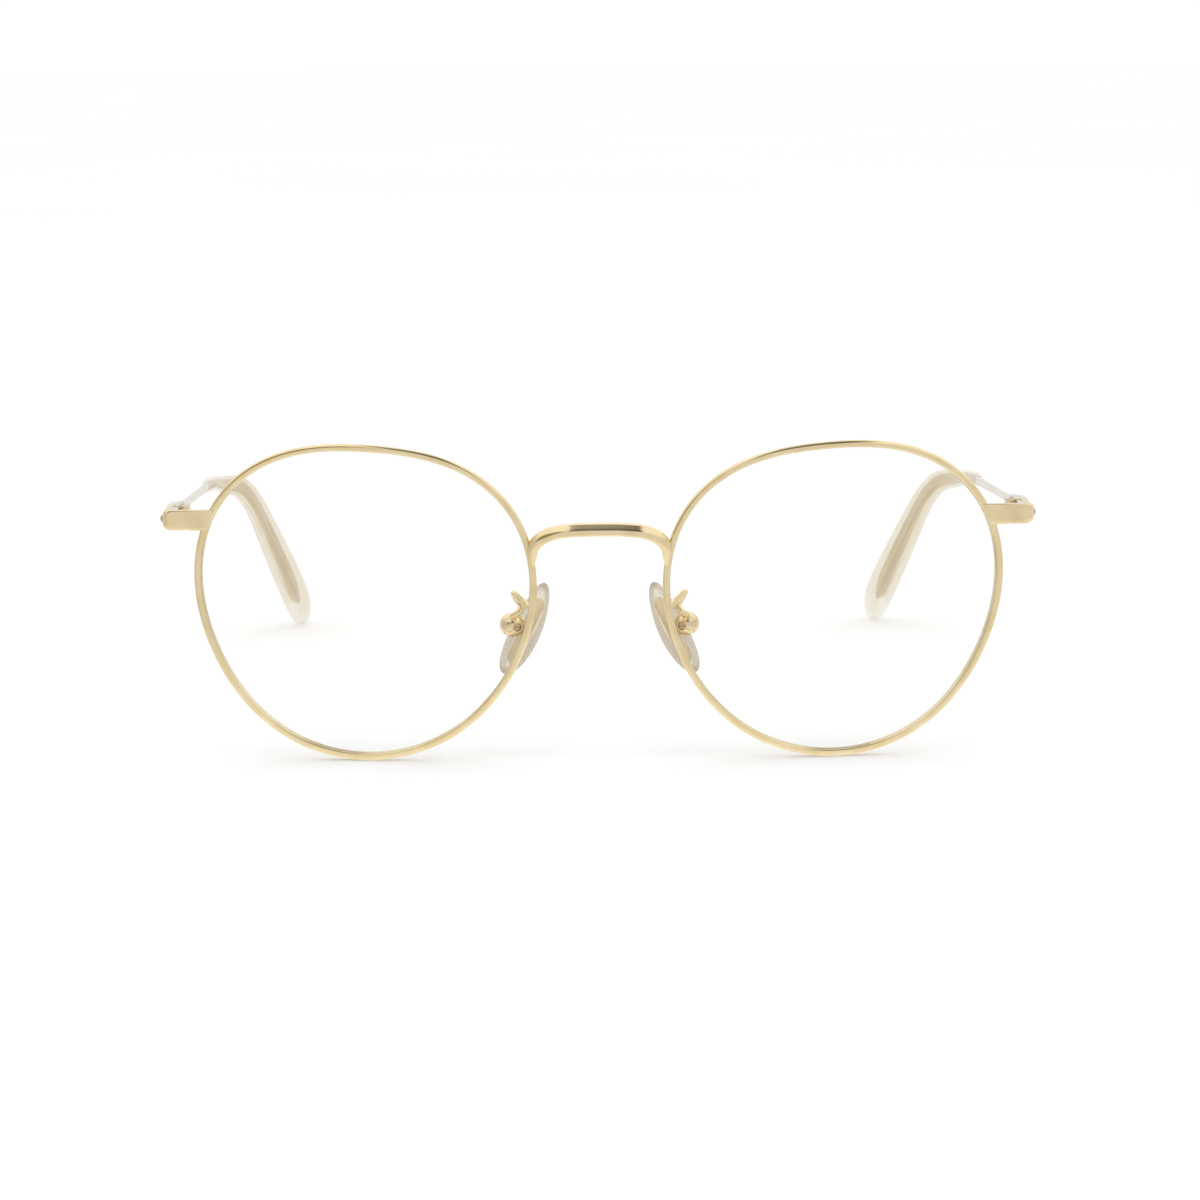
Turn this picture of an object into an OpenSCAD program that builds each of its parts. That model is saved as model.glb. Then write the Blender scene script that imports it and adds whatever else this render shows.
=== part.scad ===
// Round full-rim metal spectacles with plastic temple tips and adjustable nose pads.
// Millimetres. +X to the wearer's left, +Y to the back of the head, +Z up, floor at z = 0.
// The spectacles stand open on the lower rims and on the ends of the temple tips.

/* [Front] */
// Height of the lens centres over the floor
eye_z = 24.105; // [20:0.05:30]
// Position of the nasal lens plane along Y
front_y = -68.93; // [-80:0.01:-60]
// Distance of each lens centre from the middle of the bridge
eye_x = 35.57; // [32:0.01:38]
// Rim centreline radii, from the temple side over the brow, nose and cheek
rim_radii = [25.06, 26.63, 23.43, 25.6, 25.27, 23.89, 23.52, 23.46];
// Turn of each lens plane towards the temple
wrap_angle = 5; // [0:0.5:10]
// Radius of the lens curve
base_radius = 120; // [80:5:200]
// Rim wire size across the lens plane
rim_width = 1.1; // [0.8:0.05:1.6]
// Rim wire size along the line of sight
rim_depth = 1.45; // [1.3:0.05:2.4]
// Depth of the lens groove
groove_depth = 0.35; // [0.2:0.05:0.5]
// Slit between the two rim ends
rim_slit = 0.15; // [0.1:0.05:0.6]
// Lens thickness
lens_thickness = 1.5; // [1:0.1:2.5]

/* [Bridge] */
// Height of the bridge bar in front view
bridge_height = 2.0; // [1.2:0.1:3]
// Depth of the bridge bar
bridge_depth = 1.6; // [1:0.1:2.5]
// Height of the bridge bar centre over the lens centres
bridge_rise = 11.26; // [8:0.02:14]

/* [End pieces and hinges] */
// Half of the width across the end pieces
half_width = 65.85; // [60:0.05:72]
// Height of the end pieces
end_height = 3.0; // [2:0.1:5]
// Height of the end piece centre over the lens centres
end_rise = 12.5; // [8:0.1:16]
// Thickness of the end piece plate
end_plate = 1.3; // [0.8:0.1:2]
// Hinge axis from the middle
hinge_x = 63.35; // [60:0.05:66]
// Hinge axis behind the nasal lens plane
hinge_y = 12.0; // [9:0.1:14]
// Hinge knuckle radius
knuckle_r = 1.15; // [0.9:0.05:1.5]
// Hinge screw shank radius
hinge_screw_r = 0.6; // [0.4:0.05:0.8]
// Rivet shank radius
rivet_r = 0.4; // [0.3:0.05:0.6]
// Height of the rivet head
rivet_head = 0.5; // [0.2:0.05:0.8]

/* [Temples] */
// Where the temple starts behind the hinge axis
temple_start = 0.1; // [0.05:0.05:0.5]
// Thickness of the temple bar, sideways
bar_width = 1.0; // [0.8:0.1:1.6]
// Height of the slim temple bar
bar_height = 1.3; // [1:0.1:2]
// Start of the plastic tip behind the nasal lens plane
tip_start = 67; // [60:1:85]
// End of the plastic tip behind the nasal lens plane
tip_end = 139.14; // [125:0.1:145]
// Widest sideways size of the plastic tip
tip_width = 3.5; // [2:0.1:4]
// Widest size of the plastic tip, across its length
tip_breadth = 7.6; // [4:0.1:9]

/* [Nose pads] */
// Pad length
pad_length = 15.2; // [10:0.1:18]
// How far the pad middle sits above its screw, along the pad
pad_shift = 0.3; // [0:0.1:1]
// Pad breadth
pad_breadth = 7.2; // [5:0.1:9]
// Pad thickness
pad_thickness = 2.2; // [1.5:0.1:3]
// Radius of the domed pad holder
cup_r = 1.86; // [1.2:0.02:2.4]
// Pad arm wire diameter
arm_wire = 1.0; // [0.7:0.05:1.3]
// Pad screw shank radius
pad_screw_r = 0.35; // [0.25:0.05:0.5]

/* [Hidden] */
gold = [0.87, 0.76, 0.52];
screw_gold = [0.72, 0.60, 0.42];
clear_tip = [0.90, 0.84, 0.72];
clear_pad = [0.92, 0.88, 0.80];
glass = [0.85, 0.92, 0.95];
round_fn = 48;
fit_gap = 0.02;
run_gap = 0.04;
knuckle_gap = 0.1;
rim_steps = 80;
lens_steps = 60;
slit_angle = 27.8;
end_z = eye_z + end_rise;
end_low = end_z - end_height / 2;
end_top = end_z + end_height / 2;
leg_in = half_width - end_plate + 0.05;
end_front = front_y + 3.95;
axis_y = front_y + hinge_y;
rivet_y = front_y + 6.6;

// ---- shared geometry ----

function unit(v) = v / norm(v);
function tangents(p) = [for (i = [0 : len(p) - 1]) unit(p[min(i + 1, len(p) - 1)] - p[max(i - 1, 0)])];
function first3(p) = [for (q = p) [q[0], q[1], q[2]]];
function square_off(v, t) = unit(v - (v * t) * t);
// a side vector carried along the tangents without twist
function carried(t, v) = [for (i = 0, s = square_off(v, t[0]); i < len(t);
  s = i + 1 < len(t) ? square_off(s, t[i + 1]) : s, i = i + 1) s];
function spline_point(a, b, c, d, f) = (2 * b + (c - a) * f + (2 * a - 5 * b + 4 * c - d) * f * f
  + (3 * b - a - 3 * c + d) * f * f * f) / 2;
function spline(p, m) = [for (i = [0 : len(p) - 2]) for (j = [0 : i == len(p) - 2 ? m : m - 1])
  spline_point(p[max(i - 1, 0)], p[i], p[i + 1], p[min(i + 2, len(p) - 1)], j / m)];
function signed_power(v, e) = sign(v) * pow(abs(v), e);
// rounded section with n points, squarer for a larger e
function oval(w, h, e, n) = [for (i = [0 : n - 1])
  [w / 2 * signed_power(cos(360 * i / n), 2 / e), h / 2 * signed_power(sin(360 * i / n), 2 / e)]];
function placed(section, p, s, u) = [for (q = section) p + q[0] * s + q[1] * u];
function ring_faces(rings, n, base, flip) = [for (i = [0 : rings - 2]) for (j = [0 : n - 1]) for (k = [0, 1])
  let (a = base + i * n + j, b = base + i * n + (j + 1) % n, c = a + n, d = b + n)
  k == 0 ? (flip ? [a, c, b] : [a, b, c]) : (flip ? [b, c, d] : [b, d, c])];
function cap_faces(base, n, flip) = [for (j = [1 : n - 2]) flip ? [base, base + j, base + j + 1]
  : [base, base + j + 1, base + j]];

// bar section: squarish, but well rounded where it faces up and forward
function bar_section(w, h, n) = [for (i = [0 : n - 1]) let (a = 360 * i / n, e = a > 180 && a < 270 ? 2 : 3.4)
  [w / 2 * signed_power(cos(a), 2 / e), h / 2 * signed_power(sin(a), 2 / e)]];

// solid through a list of rings, closed by a face at each end
module skin(rings, flip = false) {
  n = len(rings[0]);
  last = (len(rings) - 1) * n;
  polyhedron(points = [for (r = rings) each r],
    faces = concat(ring_faces(len(rings), n, 0, flip), cap_faces(0, n, flip), cap_faces(last, n, !flip)),
    convexity = 8);
}

// blind tube: an outer and an inner list of rings that share the open first end
module blind_tube(outer, inner) {
  n = len(outer[0]);
  start = len(outer) * n;
  mouth = [for (j = [0 : n - 1]) for (k = [0, 1])
    let (a = j, b = (j + 1) % n, c = start + j, d = start + (j + 1) % n) k == 0 ? [a, c, b] : [b, c, d]];
  polyhedron(points = concat([for (r = outer) each r], [for (r = inner) each r]),
    faces = concat(ring_faces(len(outer), n, 0, false), cap_faces(start - n, n, true),
      ring_faces(len(inner), n, start, true), cap_faces(start + (len(inner) - 1) * n, n, false), mouth),
    convexity = 8);
}

// ---- rims and lenses ----

// radius of the rim centreline, a periodic curve through the eight driving radii
function rim_radius(a) = [for (j = [0 : 7]) let (d = a - 45 * j)
  rim_radii[j] * (1 + 2 * cos(d) + 2 * cos(2 * d) + 2 * cos(3 * d) + cos(4 * d)) / 8]
  * [1, 1, 1, 1, 1, 1, 1, 1];
function lens_plane(u, s, v) = [eye_x + u * cos(wrap_angle) - s * sin(wrap_angle),
  front_y + u * sin(wrap_angle) + s * cos(wrap_angle), eye_z + v];
function rim_local(a) = let (r = rim_radius(a)) [r * cos(a), r * r / (2 * base_radius), r * sin(a)];
function turned(v) = [v[0] * cos(wrap_angle) - v[1] * sin(wrap_angle),
  v[0] * sin(wrap_angle) + v[1] * cos(wrap_angle), v[2]];
function rim_ring(a, section) = let (p = rim_local(a), t = unit(rim_local(a + 0.5) - rim_local(a - 0.5)),
  n0 = unit([-0.5 * p[0] / base_radius, 1, -0.5 * p[2] / base_radius]), n = square_off(n0, t),
  o = cross(n, t)) placed(section, lens_plane(p[0], p[1], p[2]), turned(o), turned(n));
function rim_section(w, d, g) = [[-w, -0.42], [g - w, 0], [-w, 0.42], [-w, d - 0.15], [0.15 - w, d],
  [w - 0.35, d], [w - 0.1, d - 0.1], [w, d - 0.35], [w, 0.35 - d], [w - 0.1, 0.1 - d], [w - 0.35, -d],
  [0.15 - w, -d], [-w, 0.15 - d]];

module eyewire_shape() {
  half_slit = rim_slit / 26 * 180 / PI / 2;
  span = 360 - 2 * half_slit;
  section = rim_section(rim_width / 2, rim_depth / 2, groove_depth);
  skin([for (i = [0 : rim_steps]) rim_ring(slit_angle + half_slit + span * i / rim_steps, section)], true);
}

function lens_ring(k, inset, lift, n) = [for (i = [0 : n - 1]) let (a = 360 * i / n,
  r = k * (rim_radius(a) - inset)) lens_plane(r * cos(a), r * r / (2 * base_radius) + lift, r * sin(a))];

module lens_shape() {
  face_inset = rim_width / 2 + 0.12;
  bevel_inset = rim_width / 2 - groove_depth + 0.03;
  h = lens_thickness / 2;
  rings = concat([for (k = [0.02, 0.35, 0.7, 1]) lens_ring(k, face_inset, -h, lens_steps)],
    [lens_ring(1, face_inset, -0.28, lens_steps), lens_ring(1, bevel_inset, 0, lens_steps),
      lens_ring(1, face_inset, 0.28, lens_steps)],
    [for (k = [1, 0.7, 0.35, 0.02]) lens_ring(k, face_inset, h, lens_steps)]);
  skin(rings, true);
}

// ---- bridge ----

module bridge_shape() {
  half = [[0, -1.0, 0, 1], [3.5, -0.95, -0.06, 1], [6.5, -0.8, -0.4, 1], [8.7, -0.5, -1.3, 1],
    [9.9, -0.2, -2.6, 0.93], [10.12, 0.0, -4.1, 0.68], [10.1, 0.3, -5.6, 0.3]];
  n = len(half);
  path = concat([for (i = [1 : n - 1]) let (q = half[n - i]) [-q[0], q[1], q[2], q[3]]], half);
  line = [for (q = spline(path, 4)) [q[0], front_y + q[1], eye_z + bridge_rise + q[2], q[3]]];
  t = tangents(first3(line));
  rings = [for (i = [0 : len(line) - 1]) let (d = square_off([0, 1, 0], t[i]), h = cross(d, t[i]))
    placed(bar_section(bridge_height * line[i][3], bridge_depth * (0.4 + 0.6 * line[i][3]), 20),
      [line[i][0], line[i][1], line[i][2]], h, d)];
  skin(rings, true);
}

// ---- end pieces, closing blocks and hinges ----

// plate in front and leg to the back, seen from above
module end_plan() {
  out_r = 1.2;
  in_r = 0.5;
  leg_end = axis_y - 0.1;
  back = end_front + end_plate;
  difference() {
    union() {
      translate([57, end_front])
        square([half_width - out_r - 57, end_plate]);
      translate([leg_in, end_front + out_r])
        square([half_width - leg_in, leg_end - end_front - out_r]);
      translate([leg_in - in_r, end_front + out_r])
        square([in_r, end_plate - out_r + in_r]);
      translate([half_width - out_r, end_front + out_r])
        circle(r = out_r, $fn = round_fn);
      translate([leg_in - in_r, end_front])
        square([half_width - out_r - leg_in + in_r, end_plate]);
    }
    translate([leg_in - in_r, back + in_r])
      circle(r = in_r, $fn = round_fn);
  }
}

// front view limits: slanted along the rim
module end_face() {
  polygon([[59.3, end_low], [58.1, end_top], [half_width + 1, end_top], [half_width + 1, end_low]]);
}

module end_piece_shape() {
  difference() {
    intersection() {
      translate([0, 0, end_low])
        linear_extrude(end_height)
          end_plan();
      translate([0, front_y + 20, 0])
        rotate([90, 0, 0])
          linear_extrude(30)
            end_face();
    }
    translate([leg_in - 1, rivet_y, end_z])
      rotate([0, 90, 0])
        cylinder(r = rivet_r + fit_gap, h = 4, $fn = round_fn);
  }
}

block_x = 60.75;
block_y = front_y + 6.55;
split_z = eye_z + 12.2;

module closing_block_upper_shape() {
  difference() {
    translate([58.75, block_y - 1.42, split_z + 0.08])
      cube([3.2, 2.6, 1.2]);
    translate([block_x, block_y, split_z - 1])
      cylinder(r = 0.5 + fit_gap, h = 4, $fn = round_fn);
  }
}

module closing_block_lower_shape() {
  difference() {
    translate([59.3, block_y - 1.18, split_z - 1.5])
      cube([2.65, 2.36, 1.42]);
    translate([block_x, block_y, split_z - 3])
      cylinder(r = 0.5 + fit_gap, h = 4, $fn = round_fn);
    translate([block_x, block_y, split_z - 1.6])
      cylinder(r = 0.8 + fit_gap, h = 0.62, $fn = round_fn);
  }
}

module slotted_screw(shank_r, shank, head_r, head, slot) {
  cylinder(r = shank_r, h = shank + 0.01, $fn = round_fn);
  difference() {
    translate([0, 0, shank])
      cylinder(r = head_r, h = head, $fn = round_fn);
    translate([-head_r - 0.1, -slot / 2, shank + head * 0.5])
      cube([2 * head_r + 0.2, slot, head]);
  }
}

module rim_screw_shape() {
  translate([block_x, block_y, split_z + 1.2])
    mirror([0, 0, 1])
      slotted_screw(0.5, 2.21, 0.8, 0.42, 0.22);
}

module knuckle(z0, z1) {
  translate([hinge_x, axis_y, z0])
    cylinder(r = knuckle_r, h = z1 - z0, $fn = round_fn);
}

module hinge_bore(r, z0, z1) {
  translate([hinge_x, axis_y, z0])
    cylinder(r = r, h = z1 - z0, $fn = round_fn);
}

knuckle_h = (end_height - 2 * knuckle_gap) / 3;
mid_low = end_low + knuckle_h + knuckle_gap;
mid_top = end_top - knuckle_h - knuckle_gap;
leaf_in = hinge_x + 0.35;

module hinge_front_leaf_shape() {
  difference() {
    union() {
      translate([leaf_in, front_y + 5.9, end_low + 0.1])
        cube([leg_in - leaf_in + 0.05, 4.75, end_height - 0.2]);
      for (z = [end_low, mid_top + knuckle_gap]) {
        knuckle(z, z + knuckle_h);
        translate([leaf_in, front_y + 10.5, z])
          cube([knuckle_r - 0.35, 1.5, knuckle_h]);
      }
    }
    hinge_bore(hinge_screw_r + fit_gap, end_low - 1, end_top + 1);
    hinge_bore(0.85 + fit_gap, end_top - 0.42, end_top + 1);
    translate([leaf_in - 1, rivet_y, end_z])
      rotate([0, 90, 0])
        cylinder(r = rivet_r + fit_gap, h = 4, $fn = round_fn);
  }
}

module hinge_temple_leaf_shape() {
  difference() {
    union() {
      translate([leaf_in, front_y + 13.4, end_low + 0.2])
        cube([leg_in - leaf_in + 0.08, 4.0, end_height - 0.4]);
      knuckle(mid_low, mid_top);
      translate([leaf_in, axis_y, mid_low])
        cube([knuckle_r - 0.35, 1.8, mid_top - mid_low]);
    }
    hinge_bore(hinge_screw_r + run_gap, end_low - 1, end_top + 1);
  }
}

module hinge_screw_shape() {
  translate([hinge_x, axis_y, end_low + 0.05])
    slotted_screw(hinge_screw_r, end_height - 0.45, 0.85, 0.36, 0.24);
}

module hinge_rivet_shape() {
  translate([leaf_in + 0.1, rivet_y, end_z])
    rotate([0, 90, 0])
      union() {
        cylinder(r = rivet_r, h = half_width - leaf_in, $fn = round_fn);
        translate([0, 0, half_width - leaf_in - 0.1]) {
          cylinder(r = 0.65, h = rivet_head / 2 + 0.01, $fn = round_fn);
          translate([0, 0, rivet_head / 2])
            cylinder(r1 = 0.65, r2 = 0.38, h = rivet_head / 2, $fn = round_fn);
        }
      }
}

// ---- temples ----

// what a smooth turn around y0 adds: nothing before it, then a change of slope
function turn_by(y, y0, reach, slope) = y < y0 - reach ? 0 : y > y0 + reach ? slope * (y - y0)
  : slope * pow(y - y0 + reach, 2) / (4 * reach);
// the temple runs straight, dips a little into the tip, then bends down behind the ear and inwards
function temple_point(y) = let (run = y - hinge_y - 0.1) [
  hinge_x + 1.85 - 0.023 * run + turn_by(y, 89.7, 11.3, -0.199),
  front_y + y,
  eye_z + end_rise - 0.042 * run + turn_by(y, 74, 8.7, -0.103) + turn_by(y, 103.8, 8, tip_slope)];
tip_slope = -0.665;
function temple_rings(ys, ws, hs, e, n) = let (p = [for (y = ys) temple_point(y)],
  t = [for (y = ys) unit(temple_point(y + 0.2) - temple_point(y - 0.2))])
  [for (i = [0 : len(ys) - 1]) let (s = unit(cross(t[i], [0, 0, 1])), u = cross(s, t[i]))
    placed(oval(ws[i], hs[i], e[i], n), p[i], s, u)];

core_end = tip_end - 4.6;
function core_width(y) = lookup(y, [[tip_start, bar_width], [tip_start + 15, 0.95], [core_end, 0.8]]);
function core_height(y) = lookup(y, [[tip_start - 4, bar_height], [tip_start + 10, 1.5], [98, 2.4],
  [110, 3.6], [124, 4.8], [core_end - 6, 4.8], [core_end - 1.5, 3.6], [core_end, 1.6]]);

module temple_arm_shape() {
  y0 = hinge_y + temple_start;
  ys = concat([y0, y0 + 2, y0 + 4, y0 + 5.5, y0 + 7, y0 + 8.5, y0 + 10, y0 + 12, y0 + 14],
    [for (y = [32 : 8 : tip_start - 6]) y], [for (i = [0 : 26]) tip_start + (core_end - tip_start) * i / 26]);
  ws = [for (y = ys) y < tip_start ? lookup(y, [[y0 + 4, 1.2], [y0 + 14, bar_width]]) : core_width(y)];
  hs = [for (y = ys) y < tip_start - 4 ? lookup(y, [[y0 + 4, end_height], [y0 + 5.5, end_height - 0.25],
    [y0 + 7, 2.2], [y0 + 8.5, 1.75], [y0 + 10, 1.5], [y0 + 12, 1.38], [y0 + 14, bar_height]])
    : core_height(y)];
  es = [for (y = ys) y < y0 + 6 ? 9 : 4];
  skin(temple_rings(ys, ws, hs, es, 12), true);
}

module temple_tip_shape() {
  n = 16;
  round_len = 3.4;
  ys = concat([tip_start, tip_start + 0.25, tip_start + 0.8],
    [for (i = [1 : 28]) tip_start + (tip_end - round_len - tip_start) * i / 28],
    [for (a = [18 : 18 : 90]) tip_end - round_len + round_len * sin(a) * 0.999]);
  shrink = [for (y = ys) y < tip_start + 0.1 ? 0.8 : y < tip_end - round_len ? 1
    : max(0.03, sqrt(max(0, 1 - pow((y - tip_end + round_len) / round_len, 2))))];
  widths = [for (y = ys) lookup(y, [[tip_start, 2.3], [85, 2.4], [98, 2.6], [108, 2.75], [116, 3.1],
    [124, tip_width - 0.1], [130, tip_width], [136, tip_width - 0.1], [tip_end, tip_width - 0.5]])];
  heights = [for (y = ys) lookup(y, [[tip_start, 2.3], [85, 2.8], [98, 3.8], [108, 5.0], [116, 6.2],
    [124, tip_breadth - 0.4], [130, tip_breadth], [136, tip_breadth - 0.5], [tip_end, tip_breadth - 1.4]])];
  outer = temple_rings(ys, [for (i = [0 : len(ys) - 1]) widths[i] * sqrt(shrink[i])],
    [for (i = [0 : len(ys) - 1]) heights[i] * shrink[i]], [for (y = ys) 2.3], n);
  inner_ys = [for (i = [0 : 27]) tip_start + (core_end + 0.35 - tip_start) * i / 27];
  inner = temple_rings(inner_ys, [for (y = inner_ys) core_width(y) + 0.16],
    [for (y = inner_ys) core_height(y) + 0.2], [for (y = inner_ys) 5], n);
  blind_tube([for (r = outer) [for (i = [0 : n - 1]) r[(n - i) % n]]],
    [for (r = inner) [for (i = [0 : n - 1]) r[(n - i) % n]]]);
}

// ---- nose pads ----

cup_at = [13.3, front_y + 6.0, eye_z - 4.14];
pad_up = unit([-0.4266, 0.1354, 0.894]);
pad_face = square_off([-0.7627, 0.4767, -0.4362], pad_up);
pad_side = cross(pad_up, pad_face);
pad_reach = 2.75;
arm_to_cup = unit([0.1, -0.55, 0.83]);

// puts a shape drawn with X along the pad, Y across it and Z towards the nose
module on_pad() {
  multmatrix([[pad_up[0], -pad_side[0], pad_face[0], cup_at[0]],
    [pad_up[1], -pad_side[1], pad_face[1], cup_at[1]],
    [pad_up[2], -pad_side[2], pad_face[2], cup_at[2]],
    [0, 0, 0, 1]])
    children();
}

module pad_arm_shape() {
  path = [[10.15, 0.85, -1.0], [10.45, 2.4, -0.95], [11.5, 3.7, -0.3], [12.4, 4.35, 0.4],
    [12.95, 5.1, 0.8], [12.7, 5.8, 0.0], [11.9, 5.45, -1.15], [12.35, 5.0, -2.05]];
  tail = cup_at + 1.68 * cup_r / 1.86 * arm_to_cup;
  line = spline(concat([for (q = path) [q[0], front_y + q[1], eye_z + q[2]]], [tail]), 5);
  t = tangents(line);
  s = carried(t, [0, 0, 1]);
  skin([for (i = [0 : len(line) - 1]) placed(oval(arm_wire, arm_wire, 2, 12), line[i], s[i],
    cross(t[i], s[i]))], false);
}

module pad_cup_shape() {
  on_pad()
    difference() {
      sphere(r = cup_r, $fn = round_fn);
      translate([-3, -3, 1.2])
        cube([6, 6, 3]);
      translate([-3, -0.65, -0.95])
        cube([6, 1.3, 4]);
      rotate([90, 0, 0])
        translate([0, 0, -3])
          cylinder(r = pad_screw_r + fit_gap, h = 6, $fn = round_fn);
      rotate([90, 0, 0])
        translate([0, 0, 1.28])
          cylinder(r = 0.62 + fit_gap, h = 2, $fn = round_fn);
    }
}

module pad_screw_shape() {
  on_pad()
    rotate([90, 0, 0])
      translate([0, 0, -1.5])
        slotted_screw(pad_screw_r, 2.8, 0.62, 0.36, 0.2);
}

module pad_insert_shape() {
  lug_w = 0.95;
  plate_t = 0.4;
  on_pad()
    difference() {
      union() {
        rotate([90, 0, 0])
          translate([0, 0, -lug_w / 2])
            cylinder(r = 0.85, h = lug_w, $fn = round_fn);
        translate([-0.85, -lug_w / 2, 0])
          cube([1.7, lug_w, pad_reach]);
        translate([-3.9, -1.6, pad_reach - plate_t / 2])
          cube([7.8, 3.2, plate_t]);
        for (x = [-3.9, 3.9])
          translate([x, 0, pad_reach - plate_t / 2])
            cylinder(r = 1.6, h = plate_t, $fn = round_fn);
      }
      rotate([90, 0, 0])
        translate([0, 0, -2])
          cylinder(r = pad_screw_r + run_gap, h = 4, $fn = round_fn);
    }
}

module nose_pad_shape() {
  n = 28;
  levels = [for (a = [-84, -60, -36, -12, 12, 36, 60, 84]) a];
  drop = 0.45;
  rings = [for (a = levels) let (k = pow(cos(a), 0.55), z = pad_thickness / 2 * sin(a))
    [for (i = [0 : n - 1]) let (b = 360 * i / n,
      x = pad_length / 2 * cos(b) * (k - 0.16 + 0.16 * pow(cos(a), 0.3)),
      y = pad_breadth / 2 * sin(b) * (1 - 0.14 * cos(b)) * k)
      [x + pad_shift, y, pad_reach + z - drop * pow(x / pad_length * 2, 2)]]];
  on_pad()
    skin(rings);
}

// ---- nodes ----

module bridge() color(gold) bridge_shape();
module left_eyewire() color(gold) eyewire_shape();
module right_eyewire() color(gold) mirror([1, 0, 0]) eyewire_shape();
module left_lens() color(glass) lens_shape();
module right_lens() color(glass) mirror([1, 0, 0]) lens_shape();
module left_end_piece() color(gold) end_piece_shape();
module right_end_piece() color(gold) mirror([1, 0, 0]) end_piece_shape();
module left_closing_block_upper() color(gold) closing_block_upper_shape();
module right_closing_block_upper() color(gold) mirror([1, 0, 0]) closing_block_upper_shape();
module left_closing_block_lower() color(gold) closing_block_lower_shape();
module right_closing_block_lower() color(gold) mirror([1, 0, 0]) closing_block_lower_shape();
module left_rim_screw() color(screw_gold) rim_screw_shape();
module right_rim_screw() color(screw_gold) mirror([1, 0, 0]) rim_screw_shape();
module left_hinge_front_leaf() color(gold) hinge_front_leaf_shape();
module right_hinge_front_leaf() color(gold) mirror([1, 0, 0]) hinge_front_leaf_shape();
module left_hinge_temple_leaf() color(gold) hinge_temple_leaf_shape();
module right_hinge_temple_leaf() color(gold) mirror([1, 0, 0]) hinge_temple_leaf_shape();
module left_hinge_screw() color(screw_gold) hinge_screw_shape();
module right_hinge_screw() color(screw_gold) mirror([1, 0, 0]) hinge_screw_shape();
module left_hinge_rivet() color(screw_gold) hinge_rivet_shape();
module right_hinge_rivet() color(screw_gold) mirror([1, 0, 0]) hinge_rivet_shape();
module left_temple_arm() color(gold) temple_arm_shape();
module right_temple_arm() color(gold) mirror([1, 0, 0]) temple_arm_shape();
module left_temple_tip() color(clear_tip) temple_tip_shape();
module right_temple_tip() color(clear_tip) mirror([1, 0, 0]) temple_tip_shape();
module left_pad_arm() color(gold) pad_arm_shape();
module right_pad_arm() color(gold) mirror([1, 0, 0]) pad_arm_shape();
module left_pad_cup() color(gold) pad_cup_shape();
module right_pad_cup() color(gold) mirror([1, 0, 0]) pad_cup_shape();
module left_pad_screw() color(screw_gold) pad_screw_shape();
module right_pad_screw() color(screw_gold) mirror([1, 0, 0]) pad_screw_shape();
module left_pad_insert() color(gold) pad_insert_shape();
module right_pad_insert() color(gold) mirror([1, 0, 0]) pad_insert_shape();
module left_nose_pad() color(clear_pad) nose_pad_shape();
module right_nose_pad() color(clear_pad) mirror([1, 0, 0]) nose_pad_shape();

bridge();
left_eyewire();
right_eyewire();
left_lens();
right_lens();
left_end_piece();
right_end_piece();
left_closing_block_upper();
right_closing_block_upper();
left_closing_block_lower();
right_closing_block_lower();
left_rim_screw();
right_rim_screw();
left_hinge_front_leaf();
right_hinge_front_leaf();
left_hinge_temple_leaf();
right_hinge_temple_leaf();
left_hinge_screw();
right_hinge_screw();
left_hinge_rivet();
right_hinge_rivet();
left_temple_arm();
right_temple_arm();
left_temple_tip();
right_temple_tip();
left_pad_arm();
right_pad_arm();
left_pad_cup();
right_pad_cup();
left_pad_screw();
right_pad_screw();
left_pad_insert();
right_pad_insert();
left_nose_pad();
right_nose_pad();
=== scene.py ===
"""Round gold metal spectacles with clear tips and pads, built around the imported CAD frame."""
import math

import bmesh
import bpy
import numpy as np
from mathutils import Matrix, Vector


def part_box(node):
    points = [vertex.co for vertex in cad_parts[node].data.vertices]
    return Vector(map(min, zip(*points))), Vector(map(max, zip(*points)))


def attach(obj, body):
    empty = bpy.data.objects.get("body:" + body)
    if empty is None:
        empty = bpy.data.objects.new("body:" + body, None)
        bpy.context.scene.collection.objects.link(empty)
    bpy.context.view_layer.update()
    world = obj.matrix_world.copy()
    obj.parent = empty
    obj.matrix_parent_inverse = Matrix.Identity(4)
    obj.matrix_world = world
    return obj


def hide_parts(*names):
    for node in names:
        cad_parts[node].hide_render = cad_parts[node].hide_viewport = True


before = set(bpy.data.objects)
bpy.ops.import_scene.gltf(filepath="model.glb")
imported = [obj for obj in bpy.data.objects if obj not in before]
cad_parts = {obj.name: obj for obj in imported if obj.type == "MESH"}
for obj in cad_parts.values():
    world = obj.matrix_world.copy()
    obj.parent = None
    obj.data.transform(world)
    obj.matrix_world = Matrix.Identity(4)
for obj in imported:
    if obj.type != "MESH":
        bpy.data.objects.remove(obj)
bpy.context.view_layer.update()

MM = 0.001

# ---------------------------------------------------------------- sizes, in millimetres
# The left side is drawn and the right side is its mirror image. Y runs from the front to the tips.


def box_mm(node):
    """Lower and upper corner of a CAD node."""
    low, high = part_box(node)
    return np.array(low) / MM, np.array(high) / MM


hinge_low, hinge_high = box_mm("left_hinge_screw")
end_low, end_high = box_mm("left_end_piece")

# places taken from the CAD frame
HINGE_X = (hinge_low[0] + hinge_high[0]) / 2
AXIS_Y = (hinge_low[1] + hinge_high[1]) / 2
FRONT_Y = AXIS_Y - 12.0
END_LOW, END_TOP = end_low[2], end_high[2]
END_Z = (END_LOW + END_TOP) / 2
HALF_WIDTH = end_high[0]

# rims and lenses
EYE_X, EYE_Z = 35.57, END_Z - 12.5
EYE_CENTRE = np.array([EYE_X, FRONT_Y, EYE_Z])
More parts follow.
